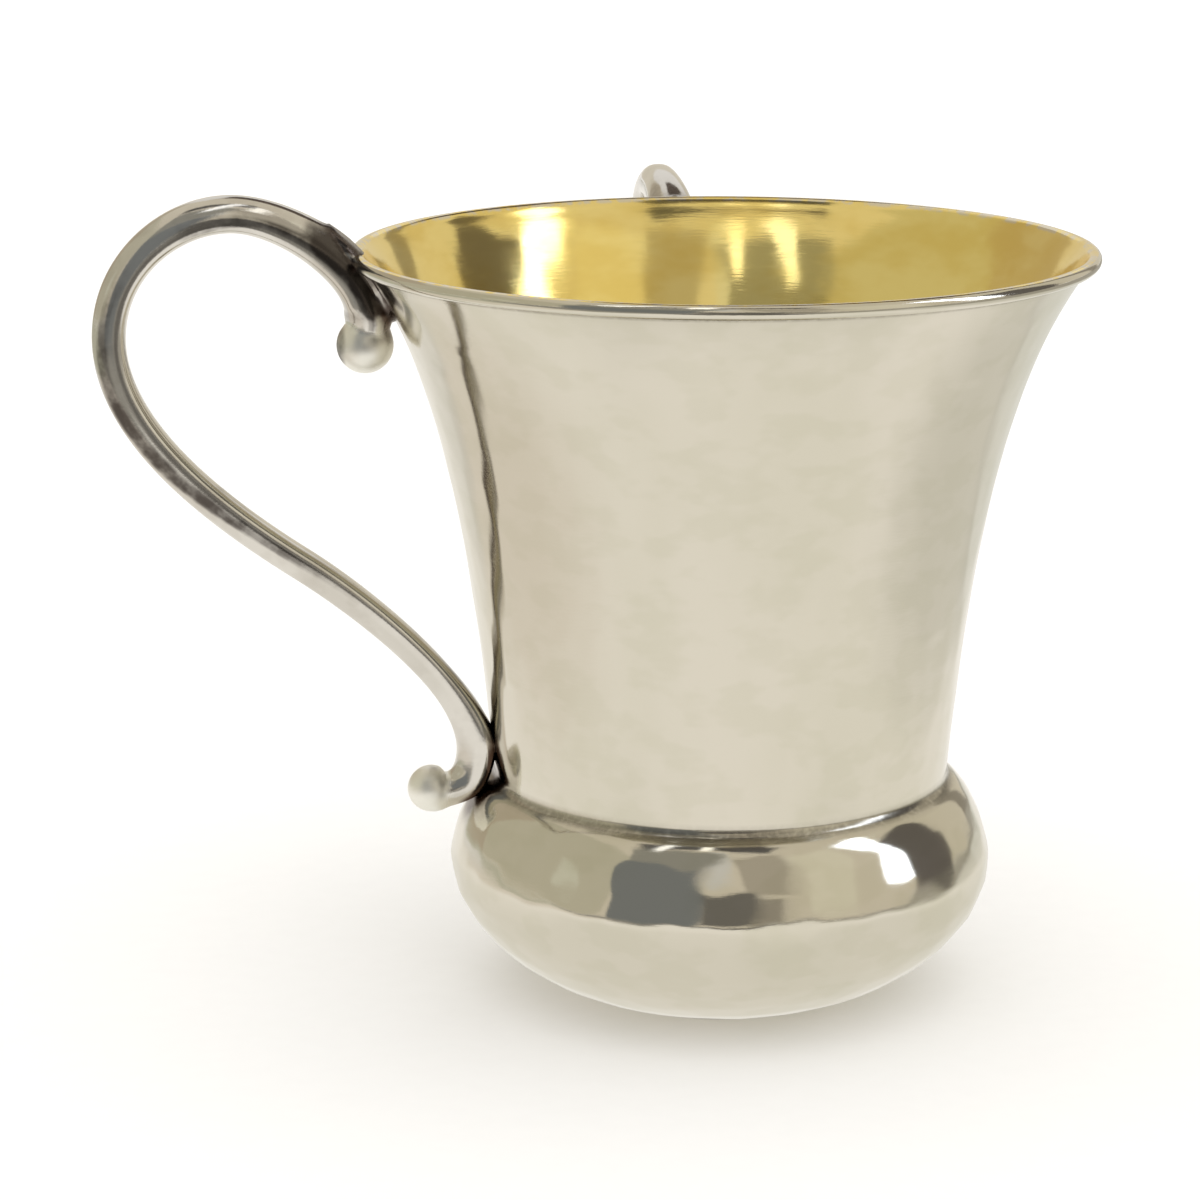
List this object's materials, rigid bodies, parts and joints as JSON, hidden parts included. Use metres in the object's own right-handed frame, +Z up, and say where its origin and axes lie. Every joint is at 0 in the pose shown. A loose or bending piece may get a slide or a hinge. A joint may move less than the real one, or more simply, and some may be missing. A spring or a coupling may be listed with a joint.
{
  "type": "washing cup",
  "caption": "Hammered silver washing cup, gilt inside, with a flared mouth, a pinched waist, a round lower body and ball-ended scroll handles.",
  "frame": {"origin": "on the cup's axis, at the flat underside that it stands on", "axes": "+Z up along the cup's axis; the side handle points along -X and the back handle along +Y"},
  "size_m": [0.1551, 0.1551, 0.1275],
  "materials": {
    "raised_silver": "polished and lightly hammered silver, gilt inside",
    "cast_silver": "polished cast silver"
  },
  "bodies": {
    "root": {"cup_body": "raised_silver", "handle_side": "cast_silver", "handle_back": "cast_silver"}
  },
  "joints": []
}
